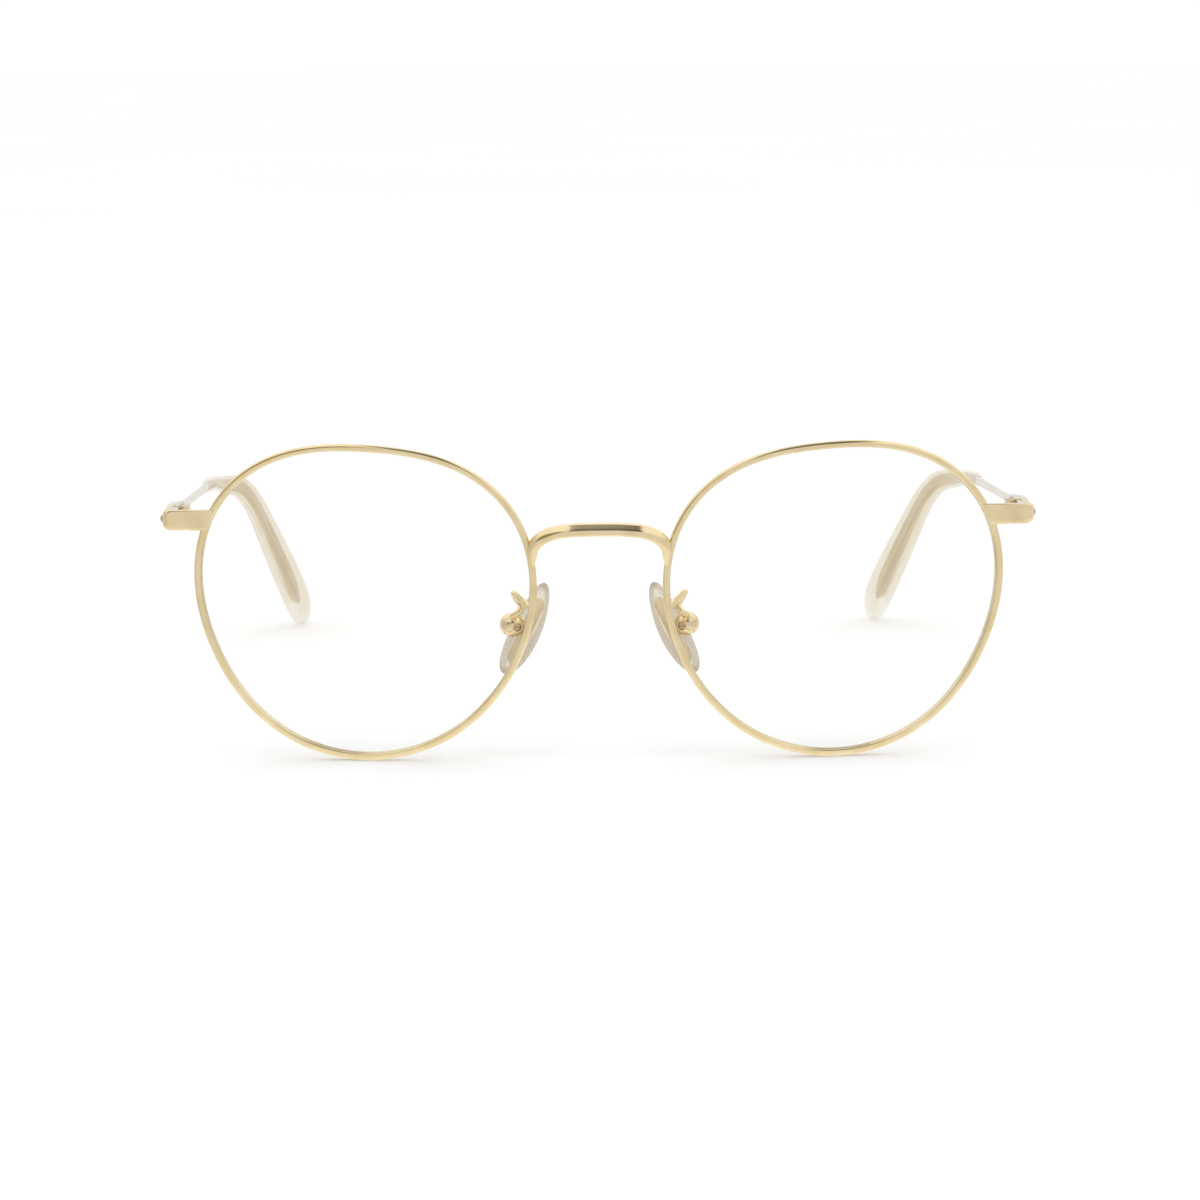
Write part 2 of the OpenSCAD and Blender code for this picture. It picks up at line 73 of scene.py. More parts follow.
# from the middle of the eye, every 45 degrees from the temple side over the top
RIM_RADII = (25.06, 26.63, 23.43, 25.6, 25.27, 23.89, 23.52, 23.46)
WRAP = math.radians(5)
BASE_RADIUS = 120.0
RIM_WIDTH, RIM_DEPTH, GROOVE = 1.1, 1.45, 0.35
GROOVE_HALF = 0.42
SLIT_ANGLE, SLIT_WIDTH, SLIT_RADIUS = 27.8, 0.15, 26
LENS_THICK, LENS_GAP = 1.5, 0.12
BEVEL_HALF, BEVEL_GAP = 0.28, 0.03
BRIDGE_Z = EYE_Z + 11.26

# end pieces, hinges and closing blocks
PLATE_FRONT, PLATE_THICK, PLATE_INNER = FRONT_Y + 3.95, 1.3, 57.0
OUTER_CORNER, INNER_CORNER = 1.2, 0.5
LOWER_EDGE, UPPER_EDGE = 0.85, 0.62
LEG_IN = HALF_WIDTH - 1.25
LEAF_IN = HINGE_X + 0.35
WEB = 0.78
KNUCKLE_R, KNUCKLE_GAP = 1.15, 0.1
KNUCKLE_TALL = (END_TOP - END_LOW - 2 * KNUCKLE_GAP) / 3
SPLIT_Z, SPLIT_HALF = EYE_Z + 12.2, 0.08
BLOCK_X, BLOCK_Y = 60.75, FRONT_Y + 6.55
BLOCK_HALF, BLOCK_OUT = 1.18, 61.95

# temples: distances along Y count from the front, and a bend has a place, a reach and a change of slope
ARM_START = AXIS_Y - FRONT_Y + 0.1
TIP_START, TIP_END = 67.0, 139.11
CORE_END = TIP_END - 4.6
ARM_OUT, INWARD, DROP = 1.85, 0.023, 0.042
TURN_IN = (89.7, 11.3, -0.199)
FIRST_BEND, EAR_BEND = (74, 8.7, -0.103), (103.8, 8, -0.665)
ARM_SIDES, TIP_SIDES = 36, 56
TIP_SQUARE = 2.3

# ---------------------------------------------------------------- shape helpers


def unit(v):
    """The vector, or each row of vectors, at length 1."""
    v = np.asarray(v, float)
    return v / np.linalg.norm(v, axis=-1, keepdims=True)


def spline(points, m):
    """Catmull-Rom curve through the points, m samples to a span."""
    p = np.asarray(points, float)
    p = np.vstack([p[:1], p, p[-1:]])
    out = []
    for i in range(1, len(p) - 2):
        a, b, c, d = p[i - 1 : i + 3]
        square, cube = 2 * a - 5 * b + 4 * c - d, 3 * b - a - 3 * c + d
        for f in np.arange(m) / m:
            out.append((2 * b + (c - a) * f + square * f**2 + cube * f**3) / 2)
    out.append(p[-1])
    return np.array(out)


def oval(w, h, e, n):
    """Rounded section of n points, squarer for a larger e."""
    a = 2 * np.pi * np.arange(n) / n
    c, s = np.cos(a), np.sin(a)
    across, up = np.sign(c) * np.abs(c) ** (2 / e), np.sign(s) * np.abs(s) ** (2 / e)
    return np.stack([w / 2 * across, h / 2 * up], 1)


def rounded_section(corners, radii, n):
    """A closed outline with each corner replaced by a curve of n steps, as wide as its radius."""
    out = []
    count = len(corners)
    for i, r in enumerate(radii):
        a, b, c = (np.array(corners[(i + k - 1) % count], float) for k in range(3))
        u, v = unit(a - b), unit(c - b)
        for k in range(n + 1):
            t = k / n
            out.append(b + u * r * (1 - t) ** 2 + v * r * t**2)
    return np.array(out)


def arc(radius, start, end, n):
    """Points of a circle around the origin, from one angle in degrees to the other."""
    return [(radius * math.cos(q), radius * math.sin(q)) for q in np.radians(np.linspace(start, end, n))]


def tangents(p):
    """Direction of a line at each of its points."""
    t = np.empty_like(p)
    t[1:-1] = p[2:] - p[:-2]
    t[0], t[-1] = p[1] - p[0], p[-1] - p[-2]
    return unit(t)


def carried(t, v):
    """A side vector carried along the tangents without twist."""
    out = []
    v = np.array(v, float)
    for q in t:
        v = unit(v - (v @ q) * q)
        out.append(v)
    return np.array(out)


def skin(rings, closed=False):
    """Vertices and faces of a solid through the rings."""
    rings = np.asarray(rings, float)
    m, n = rings.shape[:2]
    faces = []
    for i in range(m if closed else m - 1):
        a, b = i * n, (i + 1) % m * n
        for j in range(n):
            k = (j + 1) % n
            faces.append((a + j, a + k, b + k, b + j))
    if not closed:
        faces.append(tuple(range(n)))
        faces.append(tuple(range((m - 1) * n, m * n)))
    return rings.reshape(-1, 3), faces


def lathe(centre, axis, profile, n=56, closed=False):
    """A solid of revolution: profile lists (radius, distance along the axis)."""
    axis = unit(axis)
    side = unit(np.cross(axis, [0.3, 0.9, 0.1]))
    other = np.cross(axis, side)
    a = 2 * np.pi * np.arange(n) / n
    spoke = np.cos(a)[:, None] * side + np.sin(a)[:, None] * other
    rings = [np.array(centre) + r * spoke + t * axis for r, t in profile]
    return skin(rings, closed)


def knuckle(bore, low, high):
    """A tube around the hinge axis, with broken edges."""
    r, tall = KNUCKLE_R, high - low
    edge = 0.07
    nip = edge * 0.3
    profile = [
        (bore, edge), (bore + edge, 0), (r - edge, 0), (r - nip, nip), (r, edge), (r, tall - edge),
        (r - nip, tall - nip), (r - edge, tall), (bore + edge, tall), (bore, tall - edge),
    ]
    return lathe((HINGE_X, AXIS_Y, low), (0, 0, 1), profile, closed=True)


def block(low, high, edge, steps=3):
    """A box with rounded edges."""
    bm = bmesh.new()
    bmesh.ops.create_cube(bm, size=1.0)
    low, high = np.array(low, float), np.array(high, float)
    for v in bm.verts:
        v.co = Vector((low + high) / 2 + np.array(v.co) * (high - low))
    bmesh.ops.bevel(bm, geom=list(bm.edges), offset=edge, segments=steps, profile=0.5, affect="EDGES")
    bm.verts.index_update()
    out = np.array([v.co[:] for v in bm.verts]), [tuple(v.index for v in f.verts) for f in bm.faces]
    bm.free()
    return out


def prism(outline, low, high):
    """Extrudes an XY outline from low to high."""
    o = np.asarray(outline, float)
    return skin([np.column_stack([o, np.full(len(o), z)]) for z in (low, high)])


def upright(island):
    """Swaps Y and Z, so that an outline drawn flat stands up."""
    v, f = island
    return v[:, [0, 2, 1]], f


# ---------------------------------------------------------------- objects

SMOOTH_ANGLE = 38


def linked(name, data):
    """A new object in the scene."""
    obj = bpy.data.objects.new(name, data)
    bpy.context.scene.collection.objects.link(obj)
    return obj


def new_object(name, islands, mirrored=False):
    """One object made of solids that are drawn in millimetres for the left side."""
    bm = bmesh.new()
    hand = -1 if mirrored else 1
    for v, faces in islands:
        verts = [bm.verts.new((hand * x * MM, y * MM, z * MM)) for x, y, z in v]
        for face in faces:
            bm.faces.new([verts[i] for i in face])
    bmesh.ops.recalc_face_normals(bm, faces=bm.faces)
    mesh = bpy.data.meshes.new(name)
    bm.to_mesh(mesh)
    bm.free()
    return linked(name, mesh)


def applied(obj):
    """Keeps what the modifiers make as the object's own mesh."""
    bpy.context.view_layer.update()
    shaped = obj.evaluated_get(bpy.context.evaluated_depsgraph_get())
    result = bpy.data.meshes.new_from_object(shaped)
    obj.modifiers.clear()
    obj.data = result
    return obj


def cut(obj, cutters, mirrored):
    """Cuts solids out of the object, one cutter after the other."""
    for cutter in cutters:
        other = new_object(obj.name + "_tool", [cutter], mirrored)
        mod = obj.modifiers.new("cut", "BOOLEAN")
        mod.operation, mod.solver, mod.object = "DIFFERENCE", "EXACT", other
        applied(obj)
        bpy.data.objects.remove(other)
    return obj


def bevelled(obj, width, steps, angle):
    """Rounds the edges that are sharper than the angle."""
    mod = obj.modifiers.new("edge", "BEVEL")
    mod.width, mod.segments, mod.limit_method = width * MM, steps, "ANGLE"
    mod.angle_limit, mod.use_clamp_overlap, mod.harden_normals = math.radians(angle), True, False
    return applied(obj)


def set_marks(obj, values):
    """Stores one value for each point of the mesh, which the plastic reads as its tint; on the pads it
    becomes painted shade along the outline.
    """
    mark = obj.data.attributes.new("mark", "FLOAT", "POINT")
    mark.data.foreach_set("value", values)


def finish_piece(obj, material, body, nodes, angle=SMOOTH_ANGLE):
    """Smooths the piece up to the angle, and says what it is made of, moves with and stands for."""
    obj.data.materials.clear()
    obj.data.materials.append(material)
    for p in obj.data.polygons:
        p.use_smooth = True
    obj.data.set_sharp_from_angle(angle=math.radians(angle))
    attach(obj, body)
    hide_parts(*nodes)


# ---------------------------------------------------------------- materials

# Noise scales count per metre, so 260 gives patches of about 4 mm. Most of a noise lies within its span.
NOISE_SPAN = (0.3, 0.7)


def blank(name):
    """A new material with its nodes, links and Principled shader."""
    mat = bpy.data.materials.new(name)
    mat.use_nodes = True
    tree = mat.node_tree
    return mat, tree.nodes, tree.links, tree.nodes["Principled BSDF"]


def noise_of(nodes, links, scale, detail, stretch=(1, 1, 1), source=None):
    """Noise over the object's own coordinates, or over the source if one is given."""
    noise = nodes.new("ShaderNodeTexNoise")
    noise.inputs["Scale"].default_value = scale
    noise.inputs["Detail"].default_value = detail
    if source is None:
        mapping = nodes.new("ShaderNodeMapping")
        mapping.inputs["Scale"].default_value = stretch
        links.new(nodes.new("ShaderNodeTexCoord").outputs["Object"], mapping.inputs["Vector"])
        source = mapping.outputs["Vector"]
    links.new(source, noise.inputs["Vector"])
    return noise.outputs["Fac"]


def ramp_of(nodes, links, source, stops):
    """Colour ramp with the stops (place, colour)."""
    ramp = nodes.new("ShaderNodeValToRGB")
    elements = ramp.color_ramp.elements
    while len(elements) < len(stops):
        elements.new(0.5)
    for element, (at, colour) in zip(elements, stops):
        element.position = at
        element.color = (*colour, 1)
    links.new(source, ramp.inputs["Fac"])
    return ramp.outputs["Color"]


def range_of(nodes, links, source, start, end, low=0.0, high=1.0):
    """Turns the range from start to end into the range from low to high."""
    scaled = nodes.new("ShaderNodeMapRange")
    scaled.inputs["From Min"].default_value = start
    scaled.inputs["From Max"].default_value = end
    scaled.inputs["To Min"].default_value = low
    scaled.inputs["To Max"].default_value = high
    links.new(source, scaled.inputs["Value"])
    return scaled.outputs["Result"]


def mix_of(nodes, links, share, first, second, blend="MIX"):
    """Mixes two colours. Each input is a node's output or a fixed value."""
    mix = nodes.new("ShaderNodeMixRGB")
    mix.blend_type = blend
    for key, value in (("Fac", share), ("Color1", first), ("Color2", second)):
        if isinstance(value, bpy.types.NodeSocket):
            links.new(value, mix.inputs[key])
        else:
            mix.inputs[key].default_value = value
    return mix.outputs["Color"]


def bump_of(nodes, links, source, depth_mm, strength):
    """Normals of waves of the given depth."""
    bump = nodes.new("ShaderNodeBump")
    bump.inputs["Strength"].default_value = strength
    bump.inputs["Distance"].default_value = depth_mm * MM
    links.new(source, bump.inputs["Height"])
    return bump.outputs["Normal"]


def attribute_of(nodes, name, output):
    """A value stored on the mesh."""
    stored = nodes.new("ShaderNodeAttribute")
    stored.attribute_name = name
    return stored.outputs[output]


def set_surface(nodes, links, bsdf, tone, rough, haze, waves):
    """Tone, gloss that varies with the haze, and the normals of the waves."""
    links.new(tone, bsdf.inputs["Base Color"])
    links.new(range_of(nodes, links, haze, *NOISE_SPAN, *rough), bsdf.inputs["Roughness"])
    links.new(waves, bsdf.inputs["Normal"])


def polished_metal(name, deep, mid, pale, rough):
    """Plated metal: slight tone drift, uneven polish and faint polishing waves."""
    mat, nodes, links, bsdf = blank(name)
    bsdf.inputs["Metallic"].default_value = 1.0
    drift = noise_of(nodes, links, 260, 2.0)
    tone = ramp_of(nodes, links, drift, [(0.3, deep), (0.5, mid), (0.7, pale)])
    haze = noise_of(nodes, links, 1400, 4.0)
    waves = bump_of(nodes, links, noise_of(nodes, links, 2600, 2.0), 0.004, 0.25)
    set_surface(nodes, links, bsdf, tone, rough, haze, waves)
    return mat


def temple_plating(name):
    """Paler plating on the bare bar, turning golden where the tip covers it, with painted lengthwise streaks
    of highlight and shade there.
    """
    mat = polished_metal(name, (0.81, 0.73, 0.58), (0.85, 0.78, 0.64), (0.89, 0.83, 0.70), (0.06, 0.1))
    nodes, links = mat.node_tree.nodes, mat.node_tree.links
    tone = nodes["Principled BSDF"].inputs["Base Color"]
    bare = tone.links[0].from_socket
    # painted lengthwise streaks of highlight and shade on the covered part, laid along the stored path
    painted_streaks = noise_of(nodes, links, 900, 2.0, source=attribute_of(nodes, "path", "Vector"))
    covered = ramp_of(nodes, links, painted_streaks, [(0.3, (0.76, 0.68, 0.52)), (0.5, (0.91, 0.85, 0.68)),
                                            (0.7, (0.98, 0.94, 0.84))])
    place = nodes.new("ShaderNodeSeparateXYZ")
    links.new(nodes.new("ShaderNodeTexCoord").outputs["Object"], place.inputs["Vector"])
    mouth = FRONT_Y + TIP_START
    reach = range_of(nodes, links, place.outputs["Y"], (mouth - 1) * MM, (mouth + 9) * MM)
    links.new(mix_of(nodes, links, reach, bare, covered), tone)
    return mat


def milky_plastic(name, body, body_warm, through, share, rough, marks):
    """Cloudy see-through plastic: what is inside shows, under a pale body with a glossy surface."""
    spread = 0.05
    mat, nodes, links, bsdf = blank(name)
    bsdf.inputs["IOR"].default_value = 1.49
    drift = noise_of(nodes, links, 120, 2.0, (1, 0.4, 1))
    tone = ramp_of(nodes, links, drift, [(0.3, body_warm), (0.7, body)])
    haze = noise_of(nodes, links, 700, 3.0)
    waves = bump_of(nodes, links, noise_of(nodes, links, 500, 1.0), 0.01, 0.3)
    set_surface(nodes, links, bsdf, tone, rough, haze, waves)
    # the mark stored on the mesh deepens the tone where one looks through the most plastic; on the pads it
    # paints shade along the outline
    deeper = ramp_of(nodes, links, attribute_of(nodes, "mark", "Fac"), marks)
    see = nodes.new("ShaderNodeBsdfTransparent")
    links.new(mix_of(nodes, links, 1.0, (*through, 1), deeper, "MULTIPLY"), see.inputs["Color"])
    cloud = noise_of(nodes, links, 160, 2.0, (1, 0.5, 1))
    mix = nodes.new("ShaderNodeMixShader")
    links.new(range_of(nodes, links, cloud, *NOISE_SPAN, share - spread, share + spread), mix.inputs["Fac"])
    links.new(see.outputs["BSDF"], mix.inputs[1])
    links.new(bsdf.outputs["BSDF"], mix.inputs[2])
    links.new(mix.outputs["Shader"], nodes["Material Output"].inputs["Surface"])
    return mat


def coated_lens(name):
    """Thin clear lens: what is behind shows through, with a weak coated reflection."""
    mat, nodes, links, bsdf = blank(name)
    nodes.remove(bsdf)
    see = nodes.new("ShaderNodeBsdfTransparent")
    see.inputs["Color"].default_value = (0.99, 0.992, 0.99, 1)
    gloss = nodes.new("ShaderNodeBsdfGlossy")
    gloss.inputs["Roughness"].default_value = 0.02
    coat = noise_of(nodes, links, 60, 1.0)
    coat_colour = ramp_of(nodes, links, coat, [(0.3, (0.95, 0.98, 0.965)), (0.7, (0.96, 0.965, 0.985))])
    links.new(coat_colour, gloss.inputs["Color"])
    fresnel = nodes.new("ShaderNodeFresnel")
    fresnel.inputs["IOR"].default_value = 1.5
    weak = nodes.new("ShaderNodeMath")
    weak.operation = "MULTIPLY"
    weak.inputs[1].default_value = 0.45
    mix = nodes.new("ShaderNodeMixShader")
    links.new(fresnel.outputs["Fac"], weak.inputs[0])
    links.new(weak.outputs["Value"], mix.inputs["Fac"])
    links.new(see.outputs["BSDF"], mix.inputs[1])
    links.new(gloss.outputs["BSDF"], mix.inputs[2])
    links.new(mix.outputs["Shader"], nodes["Material Output"].inputs["Surface"])
    return mat


gold = polished_metal("pale_gold_plating", (0.82, 0.66, 0.38), (0.88, 0.72, 0.43), (0.92, 0.77, 0.49),
                      rough=(0.05, 0.09))
hinge_plating = polished_metal("pale_hinge_plating", (0.81, 0.72, 0.56), (0.85, 0.77, 0.62),
                               (0.89, 0.82, 0.68), rough=(0.08, 0.12))
arm_plating = temple_plating("temple_plating")
screw_gold = polished_metal("screw_gold", (0.52, 0.37, 0.22), (0.58, 0.43, 0.27), (0.63, 0.48, 0.30),
                            rough=(0.2, 0.3))
acetate = milky_plastic("champagne_acetate", (0.76, 0.72, 0.66), (0.74, 0.69, 0.60),
                        through=(0.975, 0.96, 0.935), share=0.20, rough=(0.06, 0.12),
                        marks=[(0.0, (1, 1, 1)), (1.0, (0.93, 0.88, 0.78))])
# the pad's marks darken its outline: painted shade for the dark edge of the clear plastic
silicone = milky_plastic("clear_pad", (0.84, 0.79, 0.69), (0.80, 0.74, 0.61),
                         through=(0.97, 0.95, 0.90), share=0.32, rough=(0.1, 0.18),
                         marks=[(0.86, (1, 1, 1)), (0.95, (0.64, 0.59, 0.53))])
lens_coat = coated_lens("coated_lens")


# ---------------------------------------------------------------- rims, lenses and bridge


def rim_radius(a):
    """The smoothest closed curve through the eight radii, which lie 45 degrees apart."""
    a = np.asarray(a, float)
    total = np.zeros_like(a)
    for j, radius in enumerate(RIM_RADII):
        d = a - math.pi * j / 4
        total += radius * (1 + 2 * (np.cos(d) + np.cos(2 * d) + np.cos(3 * d)) + np.cos(4 * d)) / 8
    return total


def on_dish(a, inset=0.0, share=1.0, lift=0.0):
    """Points on the dished face of one eye, at a share of the way out to the rim less the inset."""
    r = share * (rim_radius(a) - inset)
    return np.stack([r * np.cos(a), r * r / (2 * BASE_RADIUS) + lift, r * np.sin(a)], -1)


def wrapped(v):
    """Turns a point or a direction by the wrap of the front."""
    c, s = math.cos(WRAP), math.sin(WRAP)
    return np.stack([v[..., 0] * c - v[..., 1] * s, v[..., 0] * s + v[..., 1] * c, v[..., 2]], -1)


def rim_rings(angles, section):
    """The section, drawn outward and backward, at each angle around the eye."""
    p = on_dish(angles)
    step = 0.01
    t = unit(on_dish(angles + step) - on_dish(angles - step))
    n = unit(np.stack([-0.5 * p[:, 0] / BASE_RADIUS, np.ones(len(p)), -0.5 * p[:, 2] / BASE_RADIUS], 1))
    n = unit(n - (n * t).sum(1, keepdims=True) * t)
    o = np.cross(n, t)
    centre, o, n = wrapped(p) + EYE_CENTRE, wrapped(o), wrapped(n)
    outward, backward = section[None, :, 0, None], section[None, :, 1, None]
    return centre[:, None] + outward * o[:, None] + backward * n[:, None]


def eyewire():
    """Ring of wire, open at the slit, with a groove for the lens on its inner side."""
    w, d = RIM_WIDTH / 2, RIM_DEPTH / 2
    corners = [(-w, -GROOVE_HALF), (GROOVE - w, 0), (-w, GROOVE_HALF), (-w, d), (w, d), (w, -d), (-w, -d)]
    section = rounded_section(corners, (0.06, 0.08, 0.06, 0.2, 0.45, 0.55, 0.29), 7)
    half_slit = SLIT_WIDTH / SLIT_RADIUS / 2
    start = math.radians(SLIT_ANGLE) + half_slit
    steps = 320
    angles = start + (2 * math.pi - 2 * half_slit) * np.arange(steps + 1) / steps
    return [skin(rim_rings(angles, section))]


def lens():
    """Dished lens with a bevel that sits in the groove."""
    n = 240
    a = 2 * np.pi * np.arange(n) / n
    face_inset, bevel_inset = RIM_WIDTH / 2 + LENS_GAP, RIM_WIDTH / 2 - GROOVE + BEVEL_GAP
    steps = (0.01, 0.1, 0.2, 0.3, 0.4, 0.5, 0.6, 0.7, 0.8, 0.9, 0.97, 1.0)
    front = [(face_inset, k, -LENS_THICK / 2) for k in steps]
    edge = [(face_inset, 1, -BEVEL_HALF), (bevel_inset, 1, 0), (face_inset, 1, BEVEL_HALF)]
    back = [(face_inset, k, LENS_THICK / 2) for k in reversed(steps)]
    return [skin([wrapped(on_dish(a, *ring)) + EYE_CENTRE for ring in front + edge + back])]


def bridge():
    """Arched bar whose section grows smaller where it runs down onto the rims."""
    # each point is x, y, z and the size of the section there
    half = [(0, -1.0, 0, 1), (3.5, -0.95, -0.06, 1), (6.5, -0.8, -0.4, 1), (8.7, -0.5, -1.3, 1),
            (9.9, -0.2, -2.6, 0.93), (10.12, 0.0, -4.1, 0.68), (10.1, 0.3, -5.6, 0.3)]
    path = [(-x, y, z, k) for x, y, z, k in half[:0:-1]] + half
    line = spline(path, 14)
    p = line[:, :3] + np.array([0, FRONT_Y, BRIDGE_Z])
    rings = []
    for q, tangent, k in zip(p, tangents(p), line[:, 3]):
        d = unit(np.array([0, 1, 0]) - tangent[1] * tangent)
        h = np.cross(d, tangent)
        tall, deep = k, 0.8 * (0.4 + 0.6 * k)
        corners = [(tall, -deep), (tall, deep), (-tall, deep), (-tall, -0.15 * deep), (-0.05 * tall, -deep)]
        section = rounded_section(corners, np.array([0.35, 0.4, 0.4, 0.5, 0.55]) * (0.2 + 0.8 * k), 8)
        rings.append(q + section[:, :1] * h + section[:, 1:] * d)
    return [skin(rings)]


# ---------------------------------------------------------------- end pieces and hinges


def end_piece_outline():
    """Seen from above: plate in front, leg to the back, round outer corner. Each point also has the way
    and share in which it draws in where the piece is rounded off at its top and bottom."""
    back, leg_end, least = PLATE_FRONT + PLATE_THICK, AXIS_Y - 0.1, 0.1
    points, draw = [(PLATE_INNER, PLATE_FRONT)], [(0, least)]
    for q in np.radians(np.arange(0, 91, 9)):
        points.append((HALF_WIDTH - OUTER_CORNER + OUTER_CORNER * math.sin(q),
                       PLATE_FRONT + OUTER_CORNER - OUTER_CORNER * math.cos(q)))
        share = least + (1 - least) * math.sin(q)
        draw.append((-share * math.sin(q), share * math.cos(q)))
    points += [(HALF_WIDTH, leg_end), (LEG_IN, leg_end)]
    draw += [(-1, 0), (least, 0)]
    for q in np.radians(np.arange(0, 91, 15)):
        points.append((LEG_IN - INNER_CORNER + INNER_CORNER * math.cos(q),
                       back + INNER_CORNER - INNER_CORNER * math.sin(q)))
        draw.append((least * math.cos(q), -least * math.sin(q)))
    return np.array(points + [(PLATE_INNER, back)]), np.array(draw + [(0, -least)])


def make_end_piece(name, mirrored):
    """Plate and leg in one, rounded off above and below."""
    points, draw = end_piece_outline()
    rings = []
    turn = np.radians(np.linspace(0, 90, 9))
    for r, level, sign, turns in ((LOWER_EDGE, END_LOW, 1, turn), (UPPER_EDGE, END_TOP, -1, turn[::-1])):
        for t in turns:
            xy = points + draw * r * (1 - math.sin(t))
            rings.append(np.column_stack([xy, np.full(len(xy), level + sign * r * (1 - math.cos(t)))]))
    # the inner end follows the rim
    inner = [(50, END_LOW - 1), (59.7, END_LOW - 1), (57.7, END_TOP + 1), (50, END_TOP + 1)]
    cutter = upright(prism(inner, FRONT_Y - 5, FRONT_Y + 20))
    return cut(new_object(name, [skin(rings)], mirrored), [cutter], mirrored)


def slotted(name, mirrored, centre, axis, shank_r, shank, head_r, head, slot):
    """A screw whose head ends at shank + head along the axis."""
    top = shank + head
    profile = [(shank_r - 0.08, 0.0), (shank_r, 0.08), (shank_r, shank - 0.02), (head_r - 0.05, shank),
               (head_r, shank + 0.05), (head_r, top - 0.1), (head_r - 0.03, top - 0.04), (head_r - 0.1, top),
               (head_r * 0.5, top), (0.02, top)]
    screw = new_object(name, [lathe(centre, axis, profile)], mirrored)
    axis = unit(axis)
    side = unit(np.cross(axis, [0.2, 0.3, 0.9]) if abs(axis[2]) < 0.8 else np.cross(axis, [0.8, 0.5, 0]))
    other = np.cross(axis, side)
    v, f = block((-head_r * 1.2, -slot / 2, top - head * 0.55), (head_r * 1.2, slot / 2, top + 0.3), 0.01, 1)
    placed = np.array(centre) + v[:, :1] * side + v[:, 1:2] * other + v[:, 2:] * axis
    return cut(screw, [(placed, f)], mirrored)


def make_hinge_screw(name, mirrored):
    """Pin of the hinge, with its head on top."""
    return slotted(name, mirrored, (HINGE_X, AXIS_Y, END_LOW + 0.05), (0, 0, 1),
                   shank_r=0.6, shank=2.55, head_r=0.85, head=0.36, slot=0.24)


def hinge_rivet():
    """Rivet from the leaf through the leg, with a low dome outside."""
    head_r, dome, reach = 0.64, 0.38, HALF_WIDTH - LEAF_IN - 0.1
    profile = [(0.4, 0.0), (0.4, reach), (head_r, reach + 0.01), (head_r, reach + 0.1)]
    for q in np.radians(np.linspace(8, 88, 9)):
        profile.append((head_r * math.cos(q), reach + 0.1 + dome * math.sin(q)))
    return [lathe((LEAF_IN + 0.1, FRONT_Y + 6.6, END_Z), (1, 0, 0), profile)]


def web(start, end, low, high):
    """Thin plate that joins a knuckle to its leaf."""
    return block((LEAF_IN, start, low + 0.03), (LEAF_IN + WEB, end, high - 0.03), 0.06)


def front_leaf():
    """Leaf on the leg of the end piece, with the upper and the lower knuckle."""
    low, high = (LEAF_IN, FRONT_Y + 5.9, END_LOW + 0.1), (LEG_IN + 0.05, FRONT_Y + 10.65, END_TOP - 0.1)
    islands = [block(low, high, 0.12)]
    for z in (END_LOW, END_TOP - KNUCKLE_TALL):
        islands.append(knuckle(0.62, z, z + KNUCKLE_TALL))
        islands.append(web(FRONT_Y + 10.3, AXIS_Y - 0.2, z, z + KNUCKLE_TALL))
    return islands


def temple_leaf():
    """Leaf on the arm, with the middle knuckle."""
    low, high = END_LOW + KNUCKLE_TALL + KNUCKLE_GAP, END_TOP - KNUCKLE_TALL - KNUCKLE_GAP
    return [
        block((LEAF_IN, FRONT_Y + 13.4, END_LOW + 0.2),
              (LEG_IN + 0.08, FRONT_Y + 17.4, END_TOP - 0.2), 0.14),
        knuckle(0.64, low, high),
        web(AXIS_Y + 0.2, FRONT_Y + 13.9, low, high),
    ]


# ---------------------------------------------------------------- closing blocks


def closing_block(name, mirrored, low, high, cutters=()):
    """One half of the closing block, with the bore for the rim screw."""
    bore_r, reach = 0.52, 3
    bore = lathe((BLOCK_X, BLOCK_Y, SPLIT_Z - reach), (0, 0, 1), [(bore_r, 0), (bore_r, 2 * reach)])
    return cut(new_object(name, [block(low, high, 0.22, 4)], mirrored), [bore, *cutters], mirrored)


def make_upper_block(name, mirrored):
    """The upper half holds the end of the screw."""
    low = (58.75, BLOCK_Y - 1.42, SPLIT_Z + SPLIT_HALF)
    high = (BLOCK_OUT, BLOCK_Y + BLOCK_HALF, SPLIT_Z + 1.28)
    return closing_block(name, mirrored, low, high)


def make_lower_block(name, mirrored):
    """The lower half also has the recess for the screw's head."""
    low = (59.3, BLOCK_Y - BLOCK_HALF, SPLIT_Z - 1.5)
    high = (BLOCK_OUT, BLOCK_Y + BLOCK_HALF, SPLIT_Z - SPLIT_HALF)
    recess = lathe((BLOCK_X, BLOCK_Y, SPLIT_Z - 1.8), (0, 0, 1), [(0.85, 0), (0.82, 0.82)])
    return closing_block(name, mirrored, low, high, [recess])


def make_rim_screw(name, mirrored):
    """Screw that closes the rim, put in from below."""
    return slotted(name, mirrored, (BLOCK_X, BLOCK_Y, SPLIT_Z + 1.2), (0, 0, -1),
                   shank_r=0.5, shank=2.21, head_r=0.8, head=0.42, slot=0.22)


# ---------------------------------------------------------------- temples


def turn_by(y, y0, reach, slope):
    """What a smooth turn around y0 adds: nothing before it, then a change of slope."""
    turning = slope * (y - y0 + reach) ** 2 / (4 * reach)
    return np.where(y < y0 - reach, 0, np.where(y > y0 + reach, slope * (y - y0), turning))


def temple_point(y):
    """Middle line of the arm and the tip."""
    y = np.asarray(y, float)
    run = y - ARM_START
    x = HINGE_X + ARM_OUT - INWARD * run + turn_by(y, *TURN_IN)
    z = END_Z - DROP * run + turn_by(y, *FIRST_BEND) + turn_by(y, *EAR_BEND)
    return np.stack([x, FRONT_Y + y, z], -1)


